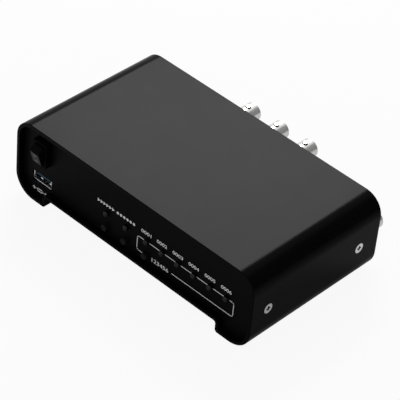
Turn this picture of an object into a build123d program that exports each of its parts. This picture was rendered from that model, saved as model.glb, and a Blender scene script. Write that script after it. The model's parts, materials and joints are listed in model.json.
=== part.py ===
"""Desktop video encoder: an extruded case around two boards, with a rocker switch,
three push buttons, eight indicators and a data port at the front, and the video
inputs at the back. Millimetres, +Z up, front towards -Y, and the origin at the
centre of the whole footprint, level with the underside of the case's feet."""

import os
from math import asin, cos, degrees, radians, sin, sqrt

from build123d import *

os.makedirs("parts", exist_ok=True)

# Case
case_width = 160.0
case_depth = 89.2
case_height = 45.5
case_wall = 2.0
top_corner_radius = 10.9
low_corner_radius = 12.4
foot_height = 6.1
foot_width = 21.4
foot_corner_radius = 1.9
arch_corner_radius = 1.2
rim_chamfer = 0.3
slip = 0.2

# Panels, tray and their side screws
panel_recess = 3.3
panel_sheet = 1.5
tray_sheet = 1.0
tray_bend = 2.6
tray_rise = 20.6
ear_gap = 0.1
ear_height = 11.0
ear_margin = 4.5
screw_setback = 11.3
screw_pitch = 64.0
screw_z = 22.6
side_screw_radius = 1.5
side_screw_head = 2.7
side_screw_head_depth = 1.3
side_screw_length = 8.0
side_screw_clearance = 0.2
cross_width = 0.9
cross_length = 2.8
cross_depth = 1.2
nut_radius = 3.0
nut_length = 2.4

# Rocker switch
switch_inset = 11.7
switch_drop = 13.9
bezel_width = 10.2
bezel_height = 14.6
bezel_corner = 1.5
bezel_proud = 3.5
bezel_edge = 0.5
switch_body_width = 8.8
switch_body_height = 13.9
switch_body_depth = 11.7
rocker_radius = 6.3
rocker_width = 6.0
rocker_gap = 0.15
rocker_side_gap = 0.2
rocker_half_face = 3.75
rocker_tilt = 17.5
rocker_back = 1.4
rocker_hub = 2.4
rocker_edge = 0.25
pivot_depth = 2.6
trunnion_radius = 1.0
trunnion_length = 0.9
running_clearance = 0.05
blade_width = 4.8
blade_thickness = 0.8
blade_spread = 7.4
blade_length = 8.6
blade_root = 0.6
switch_board_width = 12.0
switch_board_setback = 6.0
pocket_rear_wall = 1.2
pocket_edge = 1.5

# Indicators and buttons
led_inset = 13.8
pair_pitch = 13.5
pair_gap = 13.8
source_pitch = 10.5
source_count = 6
led_z = 20.95
led_radius = 1.5
led_shoulder = 0.9
led_flange_radius = 1.9
led_flange_thickness = 1.0
led_proud = 1.9
led_length = 5.3
led_gap = 0.15
lead_radius = 0.25
lead_spread = 2.54
lead_gap = 0.1
button_z = 12.6
button_radius = 1.8
button_proud = 2.2
button_gap = 0.15
button_edge = 0.35
button_flange_radius = 2.6
button_flange_thickness = 0.8
button_stem_radius = 1.6
stem_gap = 0.1
stem_entry = 0.6
button_travel = 0.3
tact_side = 6.0
tact_depth = 3.5

# Data port
port_inset = 10.9
port_z = 12.75
port_width = 13.1
port_height = 5.7
port_wall = 0.35
port_corner = 0.5
port_depth = 17.0
port_setback = 0.6
port_gap = 0.3
tongue_thickness = 1.9
tongue_drop = 0.4
tongue_inset = 1.1
tongue_side_gap = 0.6
tongue_root = 5.0
strip_pitch = 2.3
strip_width = 1.0
strip_thickness = 0.2
strip_setback = 1.0
strip_count = 4
strip_end_gap = 0.6
spring_spread = 6.4
spring_radius = 0.8
spring_length = 1.6
spring_setback = 3.0
port_tab = 1.8
port_tab_length = 5.0
port_tab_setback = 11.0
port_tab_thickness = 0.4

# Boards
board_thickness = 1.6
board_side_gap = 1.0
board_standoff = 1.5
board_front = 14.5
board_lobe_front = 6.0
board_lobe_margin = 14.3
control_board_front = 10.5
control_board_low = 9.9
control_board_high = 25.5
control_margin = 6.6
input_board_depth = 27.9
input_board_margin = 2.0
board_end_gap = 0.5
screw_radius = 1.2
screw_gap = 0.1
screw_head_radius = 2.2
screw_head_height = 1.4
screw_length = 4.0
slot_length = 2.4
slot_width = 0.5
slot_depth = 0.8
post_radius = 2.0
post_column = 1
post_rise = 1.5
standoff_radius = 2.75
board_screw_inset = 4.5
board_screw_front = 20.0
board_screw_back = 22.0
board_screw_middle_x = 4.0
board_screw_middle_y = 6.5
pillar_inset = 4.5
header_length = 20.0
header_width = 5.0
header_height = 2.5
header_setback = 3.0
header_pins = 9
header_pitch = 2.0
header_pin = 0.5
link_length = 22.0
link_width = 4.6
link_x = 4.5
link_y = 4.0

# Parts on the main board
chip_x = -22.0
chip_y = 34.0
chip_side = 27.0
chip_height = 1.8
sink_length = 36.0
sink_width = 28.0
sink_base = 3.0
fin_height = 9.0
fin_thickness = 1.2
fin_pitch = 4.3
fin_count = 9
memory_x = 25.0
memory_y = 36.0
memory_length = 11.0
memory_width = 9.0
memory_height = 1.2
memory_pitch_x = 18.0
memory_pitch_y = 14.0
inductor_inset = 21.8
inductor_y = 35.5
inductor_side = 7.2
inductor_height = 4.2
inductor_pitch = 11.0
capacitor_inset = 10.3
capacitor_radius = 3.15
capacitor_height = 7.0
capacitor_pitch = 9.0

# Rear sockets, by the distance of each centre from the middle of the case
coax_radius = 4.83
coax_bore = 4.05
coax_bore_depth = 9.0
coax_reach = 12.5
coax_thread_radius = 6.0
coax_thread_gap = 0.1
coax_thread_length = 3.4
coax_block_width = 13.2
coax_block_rise = 6.6
coax_block_depth = 5.4
coax_foot_height = 4.6
coax_foot_depth = 12.4
coax_axis_height = 7.2
coax_back_wall = 1.0
coax_mouth_chamfer = 0.25
coax_pitch = 19.2
coax_first_x = -15.2
coax_drop = 9.3
coax_side_gap = 0.1
lug_radius = 1.0
lug_span = 11.0
lug_setback = 5.0
insulator_radius = 2.35
insulator_setback = 3.4
insulator_flange = 1.2
contact_radius = 1.05
contact_setback = 0.3
contact_bore = 0.525
contact_bore_depth = 5.0
coax_nut_flats = 14.0
coax_nut_thickness = 2.2
socket_gap = 0.3
hd_x = -8.0
hd_width = 14.6
hd_height = 5.8
hd_depth = 12.0
hd_proud = 0.6
hd_chamfer = 1.6
hd_corner = 0.6
hd_inner_corner = 0.3
hd_tongue_margin = 4.6
hd_tongue_thickness = 1.1
hd_tongue_setback = 0.4
hd_tongue_block = 3.0
d_x = -45.0
d_flange_width = 30.8
d_flange_height = 12.5
d_shell_width = 16.9
d_shell_height = 8.3
d_screw_spread = 25.0
d_slope = 1.4
d_hole_pitch = 2.29
d_row_pitch = 1.98
d_hole_radius = 0.55
shell_proud = 5.0
shell_wall = 0.5
shell_corner = 2.0
shell_depth = 13.0
flange_sheet = 0.8
insert_margin = 3.0
insert_setback = 0.6
insert_hole_depth = 5.0
jack_screw_flats = 5.0
jack_screw_length = 4.8
jack_screw_bore = 1.25
jack_screw_floor = 0.4
jack_screw_stud = 1.4
jack_screw_reach = 2.4
network_x = 43.0
network_width = 16.0
network_height = 13.4
network_depth = 21.0
network_mouth_width = 11.8
network_mouth_height = 7.2
network_mouth_depth = 13.0
network_mouth_rise = 2.4
network_latch_width = 6.0
network_latch_height = 3.0
network_proud = 0.4
power_x = 27.0
power_width = 9.0
power_height = 9.4
power_depth = 14.0
power_bore = 3.2
power_bore_depth = 9.5
power_pin = 1.0
power_rim = 0.4
power_axis = 4.7
audio_x = 14.0
audio_width = 7.2
audio_height = 6.0
audio_depth = 12.0
audio_bore = 1.8
audio_ferrule = 3.0
audio_proud = 1.2
audio_axis = 3.2

# Places that follow from the sizes above
pivot_reach = rocker_radius * sin(asin(sqrt(1 - (rocker_half_face / rocker_radius) ** 2)) + radians(rocker_tilt))
rocker_reach = pivot_reach - pivot_depth + bezel_proud - panel_recess
front_y = (rocker_reach - case_depth - coax_reach) / 2
back_y = front_y + case_depth
front_face = front_y + panel_recess
front_inside = front_face + panel_sheet
rear_face = back_y - panel_recess
rear_inside = rear_face - panel_sheet
foot_spread = case_width - 2 * foot_width
inner_half = case_width / 2 - case_wall - slip
tray_z = foot_height + case_wall + slip
tray_top = tray_z + tray_sheet
ear_outside = inner_half - tray_sheet - ear_gap
ear_inside = ear_outside - panel_sheet
screw_rows = [front_y + screw_setback, front_y + screw_setback + screw_pitch]
board_z = tray_top + board_standoff
board_top = board_z + board_thickness
board_half = inner_half - tray_sheet - board_side_gap
board_back = rear_inside - board_end_gap
board_front_y = front_y + board_front
lobe_front_y = front_y + board_lobe_front
input_front_y = board_back - input_board_depth
coax_top_z = case_height - coax_drop
coax_last_x = coax_first_x + 2 * coax_pitch
coax_lower_x = ear_inside - coax_block_width / 2 - coax_side_gap
input_top = coax_top_z - coax_axis_height
input_z = input_top - board_thickness
input_board_gap = input_z - board_top
input_board_left = coax_first_x - coax_block_width / 2 - input_board_margin
input_board_right = coax_last_x + coax_block_width / 2 + input_board_margin
switch_x = switch_inset - ear_inside
switch_z = case_height - switch_drop
port_x = port_inset - ear_inside
inductor_x = board_half - inductor_inset
capacitor_x = board_half - capacitor_inset
source_column = ear_inside - led_inset - source_pitch * (source_count - 1)
source_columns = [source_column + source_pitch * i for i in range(source_count)]
pair_columns = [source_column - pair_gap - pair_pitch, source_column - pair_gap]
led_columns = pair_columns + source_columns
button_columns = pair_columns + [source_column]
control_y = front_y + control_board_front
control_left = led_columns[0] - control_margin
control_right = led_columns[-1] + control_margin
bezel_y = front_face - bezel_proud
pivot_y = bezel_y + pivot_depth
switch_back = front_face + switch_body_depth
switch_board_y = switch_back + switch_board_setback
blade_places = [(switch_x, switch_z + side * blade_spread / 2) for side in (-1, 1)]
port_front = front_face + port_setback
coax_end = back_y + coax_reach
coax_centres = [(coax_first_x + coax_pitch * i, input_top) for i in range(3)]
coax_centres += [(coax_lower_x, board_top)]


def upright(y):
    """A vertical plane that faces the front, with X to the right and Z up."""
    return Plane.XZ.offset(-y)


def side_seats(inset):
    """The four side screws' places, facing outwards, this far inside the case's sides."""
    seats = []
    for side in (-1, 1):
        plane = Plane(
            origin=(side * (case_width / 2 - inset), 0, 0),
            x_dir=(0, side, 0),
            z_dir=(side, 0, 0),
        )
        seats += [plane.location * Location((side * y, screw_z, 0)) for y in screw_rows]
    return seats


def case_outline(inset):
    """The case's section, this far inside its skin."""
    half = case_width / 2 - inset
    foot = foot_spread / 2 + inset
    arch = foot_height + inset
    top = case_height - inset
    corners = [(-half, inset), (-foot, inset), (-foot, arch), (foot, arch)]
    corners += [(foot, inset), (half, inset), (half, top), (-half, top)]
    with BuildSketch(mode=Mode.PRIVATE) as outline:
        with BuildLine():
            Polyline(corners, close=True)
        make_face()
        rounds = [
            (half, top, top_corner_radius - inset),
            (half, inset, low_corner_radius - inset),
            (foot, arch, arch_corner_radius + inset),
            (foot, inset, max(foot_corner_radius - inset, 0.3)),
        ]
        for x, z, radius in rounds:
            at_corner = [v for v in outline.vertices() if abs(abs(v.X) - x) + abs(v.Y - z) < 0.01]
            fillet(at_corner, radius)
    return outline.sketch


def save(builder, name):
    """Labels a finished piece and writes its file."""
    builder.part.label = name
    export_step(builder.part, f"parts/{name}.step")


skin_outline = case_outline(0)
bore_outline = case_outline(case_wall)
panel_outline = case_outline(case_wall + slip)

# Sleeve: one extrusion, open at the front and back, with a hollow foot along each side
with BuildPart() as sleeve:
    with BuildSketch(upright(front_y)):
        add(skin_outline)
        add(bore_outline, mode=Mode.SUBTRACT)
    extrude(amount=-case_depth)
    rims = [sleeve.faces().sort_by(Axis.Y)[i].outer_wire().edges() for i in (0, -1)]
    chamfer(rims[0] + rims[1], rim_chamfer)
    with Locations(*side_seats(0)):
        CounterSinkHole(
            radius=side_screw_radius + side_screw_clearance,
            counter_sink_radius=side_screw_head + side_screw_clearance / 2,
            depth=case_wall * 2,
        )
save(sleeve, "sleeve")

# Side screws: countersunk, with a cross recess
with BuildPart() as side_screws:
    with Locations(*side_seats(0)):
        Cylinder(
            side_screw_radius,
            side_screw_length,
            align=(Align.CENTER, Align.CENTER, Align.MAX),
        )
        Cone(
            side_screw_radius,
            side_screw_head,
            side_screw_head_depth,
            align=(Align.CENTER, Align.CENTER, Align.MAX),
        )
        for length, width in ((cross_length, cross_width), (cross_width, cross_length)):
            Box(
                length,
                width,
                cross_depth,
                align=(Align.CENTER, Align.CENTER, Align.MAX),
                mode=Mode.SUBTRACT,
            )
save(side_screws, "side_screws")

# Clinch nuts: pressed on the inner face of the panels' ears
with BuildPart() as side_nuts:
    with Locations(*side_seats(case_width / 2 - ear_inside)):
        Cylinder(nut_radius, nut_length, align=(Align.CENTER, Align.CENTER, Align.MAX))
        Cylinder(
            side_screw_radius + running_clearance,
            nut_length,
            align=(Align.CENTER, Align.CENTER, Align.MAX),
            mode=Mode.SUBTRACT,
        )
save(side_nuts, "side_nuts")


def add_ears(inside, row):
    """Folds an ear back from each end of a panel to its side screw, inside the tray's wall."""
    direction = 1 if row > inside else -1
    length = abs(row - inside) + ear_margin
    for side in (-1, 1):
        with Locations((side * (ear_inside + ear_outside) / 2, inside + direction * length / 2, screw_z)):
            Box(panel_sheet, length, ear_height)
        with Locations(Location((side * (ear_inside + ear_outside) / 2, row, screw_z), (0, 90, 0))):
            Cylinder(side_screw_radius + side_screw_clearance, panel_sheet * 2, mode=Mode.SUBTRACT)


# Front panel: cut out for the switch, the port, the indicators and the buttons
led_places = [(x, led_z) for x in led_columns]
button_places = [(x, button_z) for x in button_columns]
post_places = [((led_columns[0] + led_columns[1]) / 2, (led_z + button_z) / 2)]
for i in (post_column, source_count - post_column - 1):
    post_places += [((source_columns[i] + source_columns[i + 1]) / 2, button_z + post_rise)]
with BuildPart() as front_panel:
    with BuildSketch(upright(front_face)):
        add(panel_outline)
        with Locations((switch_x, switch_z)):
            Rectangle(switch_body_width + slip, switch_body_height + slip, mode=Mode.SUBTRACT)
        with Locations((port_x, port_z)):
            Rectangle(port_width + 2 * port_gap, port_height + 2 * port_gap, mode=Mode.SUBTRACT)
        with Locations(*led_places):
            Circle(led_radius + led_gap, mode=Mode.SUBTRACT)
        with Locations(*button_places):
            Circle(button_radius + button_gap, mode=Mode.SUBTRACT)
    extrude(amount=-panel_sheet)
    add_ears(front_inside, screw_rows[0])
save(front_panel, "front_panel")


def shell_outline(x, z, width, height, slope, radius, grow=0.0):
    """A socket shell's outline, narrower at the bottom by slope on each side."""
    half = width / 2 + grow
    low = half - slope
    rise = height / 2 + grow
    with BuildSketch(mode=Mode.PRIVATE) as outline:
        with BuildLine():
            Polyline([(x - low, z - rise), (x + low, z - rise), (x + half, z + rise), (x - half, z + rise)], close=True)
        make_face()
        fillet(outline.vertices(), radius)
    return outline.sketch


d_z = board_top + d_flange_height / 2
hd_z = board_top + hd_height / 2
network_mouth_z = board_top + network_mouth_rise + network_mouth_height / 2
power_z = board_top + power_axis
audio_z = board_top + audio_axis
jack_screw_places = [(d_x + side * d_screw_spread / 2, d_z) for side in (-1, 1)]

# Rear panel: cut out for every socket
with BuildPart() as rear_panel:
    with BuildSketch(upright(rear_inside)):
        add(panel_outline)
        with Locations(*[(x, seat + coax_axis_height) for x, seat in coax_centres]):
            Circle(coax_thread_radius + coax_thread_gap, mode=Mode.SUBTRACT)
        with Locations(*jack_screw_places):
            Circle(jack_screw_stud + slip, mode=Mode.SUBTRACT)
        with Locations((audio_x, audio_z)):
            Circle(audio_ferrule + slip, mode=Mode.SUBTRACT)
        with Locations((power_x, power_z)):
            Circle(power_bore + power_rim + slip, mode=Mode.SUBTRACT)
        with Locations((network_x, board_top + network_height / 2)):
            Rectangle(network_width + slip, network_height + slip, mode=Mode.SUBTRACT)
        add(shell_outline(hd_x, hd_z, hd_width, hd_height, hd_chamfer, hd_corner, socket_gap), mode=Mode.SUBTRACT)
        add(
            shell_outline(d_x, d_z, d_shell_width, d_shell_height, d_slope, shell_corner, socket_gap),
            mode=Mode.SUBTRACT,
        )
    extrude(amount=-panel_sheet)
    add_ears(rear_inside, screw_rows[1])
save(rear_panel, "rear_panel")


def channel(width, low, height, radius):
    """A rectangle with rounded bottom corners, standing at low."""
    with BuildSketch(mode=Mode.PRIVATE) as outline:
        with Locations((0, low)):
            Rectangle(width, height, align=(Align.CENTER, Align.MIN))
        fillet(outline.vertices().group_by(Axis.Y)[0], radius)
    return outline.sketch


screw_columns = [board_screw_inset - board_half, board_half - board_screw_inset]
board_rows = [board_front_y + board_screw_front, board_back - board_screw_back]
standoff_places = [(x, y) for x in screw_columns for y in board_rows]
standoff_places += [(board_screw_middle_x, board_front_y + board_screw_middle_y)]
pillar_columns = [input_board_left + pillar_inset, input_board_right - pillar_inset]
pillar_places = [(x, input_front_y + pillar_inset) for x in pillar_columns]

# Tray: a bent channel that slides into the sleeve and carries the main board
tray_front = front_inside + slip
tray_back = rear_inside - slip
with BuildPart() as chassis_tray:
    with BuildSketch(upright(tray_front)):
        add(channel(2 * inner_half, tray_z, tray_rise, tray_bend))
        add(
            channel(2 * (inner_half - tray_sheet), tray_top, tray_rise, tray_bend - tray_sheet),
            mode=Mode.SUBTRACT,
        )
    extrude(amount=tray_front - tray_back)
    with Locations(*side_seats(case_wall)):
        Hole(side_screw_radius + side_screw_clearance, depth=case_wall * 2)
    with BuildSketch(Plane.XY.offset(tray_z)):
        with Locations(*standoff_places):
            Circle(screw_radius + screw_gap)
    extrude(amount=tray_sheet, mode=Mode.SUBTRACT)
save(chassis_tray, "chassis_tray")

# Switch frame: a bezel proud of the panel, and a body behind it with a round pocket for the rocker
with BuildPart() as switch_frame:
    with BuildSketch(upright(bezel_y)):
        with Locations((switch_x, switch_z)):
            RectangleRounded(bezel_width, bezel_height, bezel_corner)
    extrude(amount=-bezel_proud)
    bezel_front = switch_frame.faces().sort_by(Axis.Y)[0].outer_wire().edges()
    fillet(bezel_front, bezel_edge)
    with BuildSketch(upright(front_face)):
        with Locations((switch_x, switch_z)):
            Rectangle(switch_body_width, switch_body_height)
    extrude(amount=-switch_body_depth)
    with Locations(Location((switch_x, pivot_y, switch_z), (0, 90, 0))):
        Cylinder(rocker_radius + rocker_gap, rocker_width + 2 * rocker_side_gap, mode=Mode.SUBTRACT)
        Cylinder(
            trunnion_radius + running_clearance,
            rocker_width + 2 * (rocker_side_gap + trunnion_length + running_clearance),
            mode=Mode.SUBTRACT,
        )
    with BuildSketch(upright(pivot_y)):
        with Locations((switch_x, switch_z)):
            Rectangle(rocker_width + 2 * rocker_side_gap, switch_body_height - 2 * pocket_edge)
    extrude(amount=pivot_y - switch_back + pocket_rear_wall, mode=Mode.SUBTRACT)
    with BuildSketch(upright(switch_back)):
        with Locations(*blade_places):
            Rectangle(blade_width, blade_thickness)
    extrude(amount=blade_root, mode=Mode.SUBTRACT)
save(switch_frame, "switch_frame")

# Rocker: a flat face on a drum's arc, drawn upright and tilted to its rest, with its lower end in
rocker_plane = Plane(
    origin=(switch_x - rocker_width / 2, pivot_y, switch_z),
    x_dir=(0, cos(radians(rocker_tilt)), sin(radians(rocker_tilt))),
    z_dir=(1, 0, 0),
)
face_distance = sqrt(rocker_radius**2 - rocker_half_face**2)
with BuildPart() as rocker:
    with BuildSketch(rocker_plane):
        Circle(rocker_radius)
        with Locations((-(face_distance + rocker_back) / 2, 0)):
            Rectangle(face_distance - rocker_back, 2 * rocker_radius, mode=Mode.INTERSECT)
        Circle(rocker_hub)
    extrude(amount=rocker_width)
    face = rocker.faces().filter_by(GeomType.PLANE).sort_by(Axis.Y)[0]
    fillet(face.edges(), rocker_edge)
    with Locations(Location((switch_x, pivot_y, switch_z), (0, 90, 0))):
        Cylinder(trunnion_radius, rocker_width + 2 * (rocker_side_gap + trunnion_length))
save(rocker, "rocker")

# Switch blades: two flat tails that pass into the switch board
with BuildPart() as switch_terminals:
    with BuildSketch(upright(switch_back - blade_root)):
        with Locations(*blade_places):
            Rectangle(blade_width, blade_thickness)
    extrude(amount=-blade_length)
save(switch_terminals, "switch_terminals")

# Switch board: stands on the main board behind the switch
with BuildPart() as switch_board:
    with BuildSketch(upright(switch_board_y)):
        with Locations((switch_x, board_top)):
            Rectangle(
                switch_board_width,
                switch_z + switch_body_height / 2 - board_top,
                align=(Align.CENTER, Align.MIN),
            )
        with Locations(*blade_places):
            Rectangle(blade_width + slip, blade_thickness + slip, mode=Mode.SUBTRACT)
    extrude(amount=-board_thickness)
save(switch_board, "switch_board")


def make_button(x):
    """A flat cap with a flange behind the panel and a stem that enters its tact switch."""
    tip = front_face - button_proud
    flange = front_inside + running_clearance
    stem_end = control_y - tact_depth + stem_entry
    with BuildPart() as button:
        with BuildSketch(upright(tip)):
            with Locations((x, button_z)):
                Circle(button_radius)
        extrude(amount=tip - flange)
        fillet(button.faces().sort_by(Axis.Y)[0].edges(), button_edge)
        with BuildSketch(upright(flange)):
            with Locations((x, button_z)):
                Circle(button_flange_radius)
        extrude(amount=-button_flange_thickness)
        with BuildSketch(upright(flange)):
            with Locations((x, button_z)):
                Circle(button_stem_radius)
        extrude(amount=flange - stem_end)
    return button


for number, x in enumerate(button_columns, 1):
    save(make_button(x), f"button_{number}")

# Tact switches: square bodies on the control board, each with a well for its button's stem
tact_front = control_y - tact_depth
with BuildPart() as tact_switches:
    with BuildSketch(upright(tact_front)):
        with Locations(*button_places):
            Rectangle(tact_side, tact_side)
    extrude(amount=-tact_depth)
    with BuildSketch(upright(tact_front)):
        with Locations(*button_places):
            Circle(button_stem_radius + stem_gap)
    extrude(amount=-(stem_entry + button_travel + slip), mode=Mode.SUBTRACT)
save(tact_switches, "tact_switches")


def make_led(x):
    """A round indicator: rounded tip, body, flange and two leads to the back of the control board."""
    tip = front_face - led_proud
    base = tip + led_length
    with BuildPart() as led:
        with BuildSketch(upright(tip)):
            with Locations((x, led_z)):
                Circle(led_radius)
        extrude(amount=-led_length)
        fillet(led.faces().sort_by(Axis.Y)[0].edges(), led_shoulder)
        with BuildSketch(upright(base)):
            with Locations((x, led_z)):
                Circle(led_flange_radius)
        extrude(amount=led_flange_thickness)
        with BuildSketch(upright(base)):
            with Locations((x - lead_spread / 2, led_z), (x + lead_spread / 2, led_z)):
                Circle(lead_radius)
        extrude(amount=base - control_y - board_thickness)
    return led


for number, x in enumerate(led_columns, 1):
    save(make_led(x), f"led_{number}")

# Indicator spacers: hold the indicators off the control board
lead_places = [(x + side * lead_spread / 2, led_z) for x in led_columns for side in (-1, 1)]
led_base = front_face - led_proud + led_length
with BuildPart() as led_spacers:
    with BuildSketch(upright(led_base)):
        with Locations(*led_places):
            Circle(led_flange_radius)
        with Locations(*lead_places):
            Circle(lead_radius + lead_gap, mode=Mode.SUBTRACT)
    extrude(amount=led_base - control_y)
save(led_spacers, "led_spacers")

# Control board: upright behind the front panel, held on three posts
with BuildPart() as control_board:
    with BuildSketch(upright(control_y)):
        with Locations(((control_left + control_right) / 2, (control_board_low + control_board_high) / 2)):
            Rectangle(control_right - control_left, control_board_high - control_board_low)
        with Locations(*lead_places):
            Circle(lead_radius + lead_gap, mode=Mode.SUBTRACT)
        with Locations(*post_places):
            Circle(screw_radius + screw_gap, mode=Mode.SUBTRACT)
    extrude(amount=-board_thickness)
save(control_board, "control_board")

# Posts: pressed on the back of the front panel
with BuildPart() as control_posts:
    with BuildSketch(upright(front_inside)):
        with Locations(*post_places):
            Circle(post_radius)
            Circle(screw_radius + running_clearance, mode=Mode.SUBTRACT)
    extrude(amount=front_inside - control_y)
save(control_posts, "control_posts")

# Link header: joins the control board to the main board
header_x = (source_columns[0] + source_columns[-1]) / 2 + header_pitch * 2
header_y = board_front_y + header_setback
header_z = board_top + header_height / 2
control_back = control_y + board_thickness
with BuildPart() as link_header:
    with Locations((header_x, header_y, header_z)):
        Box(header_length, header_width, header_height)
    with BuildSketch(upright(control_back)):
        with Locations((header_x, header_z)):
            with GridLocations(header_pitch, header_pitch, header_pins, 1):
                Rectangle(header_pin, header_pin)
    extrude(amount=control_back - header_y)
save(link_header, "link_header")

# Data port shell: folded steel, closed at the back, with spring bumps and two tabs on the board
with BuildPart() as port_shell:
    with BuildSketch(upright(port_front)):
        with Locations((port_x, port_z)):
            RectangleRounded(port_width, port_height, port_corner)
    extrude(amount=-port_depth)
    with BuildSketch(upright(port_front)):
        with Locations((port_x, port_z)):
            Rectangle(port_width - 2 * port_wall, port_height - 2 * port_wall)
    extrude(amount=port_wall - port_depth, mode=Mode.SUBTRACT)
    for side in (-1, 1):
        with Locations((port_x + side * spring_spread / 2, port_front + spring_setback, port_z - port_height / 2)):
            Cylinder(spring_radius, spring_length, rotation=(0, 90, 0))
        tab_x = port_x + side * (port_width / 2 + port_tab / 2 - port_wall / 2)
        with Locations((tab_x, port_front + port_tab_setback, board_top + port_tab_thickness / 2)):
            Box(port_tab, port_tab_length, port_tab_thickness)
    with Locations((port_x, port_front + spring_setback, port_z - port_height / 2)):
        Box(
            port_width,
            4 * spring_radius,
            2 * spring_radius,
            align=(Align.CENTER, Align.CENTER, Align.MAX),
            mode=Mode.SUBTRACT,
        )
save(port_shell, "port_shell")

# Data port tongue: moulded plate near the top of the shell, on a block at the back
tongue_top = port_z + port_height / 2 - port_wall - tongue_drop
tongue_width = port_width - 2 * port_wall - 2 * tongue_side_gap
with BuildPart() as port_tongue:
    with BuildSketch(upright(port_front + tongue_inset)):
        with Locations((port_x, tongue_top - tongue_thickness / 2)):
            Rectangle(tongue_width, tongue_thickness)
    extrude(amount=tongue_inset - port_depth + port_wall)
    with BuildSketch(upright(port_front + port_depth - port_wall)):
        with Locations((port_x, port_z)):
            Rectangle(port_width - 2 * port_wall, port_height - 2 * port_wall)
    extrude(amount=tongue_root)
save(port_tongue, "port_tongue")

# Data port contacts: four strips under the tongue
with BuildPart() as port_contacts:
    with BuildSketch(upright(port_front + tongue_inset + strip_setback)):
        with Locations((port_x, tongue_top - tongue_thickness - strip_thickness / 2)):
            with GridLocations(strip_pitch, strip_pitch, strip_count, 1):
                Rectangle(strip_width, strip_thickness)
    extrude(amount=-(port_depth - tongue_root - tongue_inset - strip_setback - strip_end_gap))
save(port_contacts, "port_contacts")

# Main board: notched round the data port, which sits sunk in it
notch_back = port_front + port_depth + socket_gap
with BuildPart() as main_board:
    with BuildSketch(Plane.XY.offset(board_z)):
        with Locations((0, (board_front_y + board_back) / 2)):
            Rectangle(2 * board_half, board_back - board_front_y)
        with Locations((-board_half, lobe_front_y)):
            Rectangle(
                board_half + port_x + board_lobe_margin,
                board_front_y - lobe_front_y,
                align=(Align.MIN, Align.MIN),
            )
        with Locations((port_x, notch_back)):
            Rectangle(
                port_width + 2 * port_gap,
                notch_back - lobe_front_y,
                align=(Align.CENTER, Align.MAX),
                mode=Mode.SUBTRACT,
            )
        with Locations(*standoff_places, *pillar_places):
            Circle(screw_radius + screw_gap, mode=Mode.SUBTRACT)
    extrude(amount=board_thickness)
save(main_board, "main_board")

# Low standoffs: pressed in the tray
with BuildPart() as board_standoffs:
    with BuildSketch(Plane.XY.offset(tray_top)):
        with Locations(*standoff_places):
            Circle(standoff_radius)
            Circle(screw_radius + running_clearance, mode=Mode.SUBTRACT)
    extrude(amount=board_standoff)
save(board_standoffs, "board_standoffs")

# Input board: above the rear half of the main board
with BuildPart() as input_board:
    with BuildSketch(Plane.XY.offset(input_z)):
        with Locations(((input_board_left + input_board_right) / 2, (input_front_y + board_back) / 2)):
            Rectangle(input_board_right - input_board_left, board_back - input_front_y)
        with Locations(*pillar_places):
            Circle(screw_radius + screw_gap, mode=Mode.SUBTRACT)
    extrude(amount=board_thickness)
save(input_board, "input_board")

# Pillars: hexagonal, with a stud through the main board and a thread at the top
with BuildPart() as input_standoffs:
    with BuildSketch(Plane.XY.offset(board_top)):
        with Locations(*pillar_places):
            RegularPolygon(standoff_radius, 6)
    extrude(amount=input_board_gap)
    with BuildSketch(Plane.XY.offset(board_z)):
        with Locations(*pillar_places):
            Circle(screw_radius)
    extrude(amount=board_thickness)
    with BuildSketch(Plane.XY.offset(input_z - screw_length)):
        with Locations(*pillar_places):
            Circle(screw_radius + running_clearance)
    extrude(amount=screw_length, mode=Mode.SUBTRACT)
save(input_standoffs, "input_standoffs")

# Board screws: alike on all three boards
screw_seats = [Location((x, y, board_top)) for x, y in standoff_places]
screw_seats += [Location((x, y, input_top)) for x, y in pillar_places]
screw_seats += [Location((x, control_back, z), (-90, 0, 0)) for x, z in post_places]
with BuildPart() as board_screws:
    with Locations(*screw_seats):
        Cylinder(screw_radius, screw_length, align=(Align.CENTER, Align.CENTER, Align.MAX))
        Cylinder(screw_head_radius, screw_head_height, align=(Align.CENTER, Align.CENTER, Align.MIN))
    with Locations(*[seat * Location((0, 0, screw_head_height)) for seat in screw_seats]):
        for length, width in ((slot_length, slot_width), (slot_width, slot_length)):
            Box(length, width, slot_depth, align=(Align.CENTER, Align.CENTER, Align.MAX), mode=Mode.SUBTRACT)
save(board_screws, "board_screws")

# Encoder chip and its heat sink
sink_z = board_top + chip_height
with BuildPart() as codec_chip:
    with Locations((chip_x, front_y + chip_y, board_top)):
        Box(chip_side, chip_side, chip_height, align=(Align.CENTER, Align.CENTER, Align.MIN))
save(codec_chip, "codec_chip")

with BuildPart() as heat_sink:
    with Locations((chip_x, front_y + chip_y, sink_z)):
        Box(sink_length, sink_width, sink_base, align=(Align.CENTER, Align.CENTER, Align.MIN))
    with BuildSketch(Plane.XY.offset(sink_z + sink_base)):
        with Locations((chip_x, front_y + chip_y)):
            with GridLocations(fin_pitch, fin_pitch, fin_count, 1):
                Rectangle(fin_thickness, sink_width)
    extrude(amount=fin_height)
save(heat_sink, "heat_sink")


# Memory, inductors and capacitors
with BuildPart() as memory_chips:
    with Locations((memory_x, front_y + memory_y, board_top)):
        with GridLocations(memory_pitch_x, memory_pitch_y, 2, 2):
            Box(
                memory_length,
                memory_width,
                memory_height,
                align=(Align.CENTER, Align.CENTER, Align.MIN),
            )
save(memory_chips, "memory_chips")

with BuildPart() as inductors:
    with Locations((inductor_x, front_y + inductor_y, board_top), (-inductor_x, front_y + inductor_y, board_top)):
        with GridLocations(inductor_pitch, inductor_pitch, 1, 2):
            Box(
                inductor_side,
                inductor_side,
                inductor_height,
                align=(Align.CENTER, Align.CENTER, Align.MIN),
            )
save(inductors, "inductors")

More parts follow.
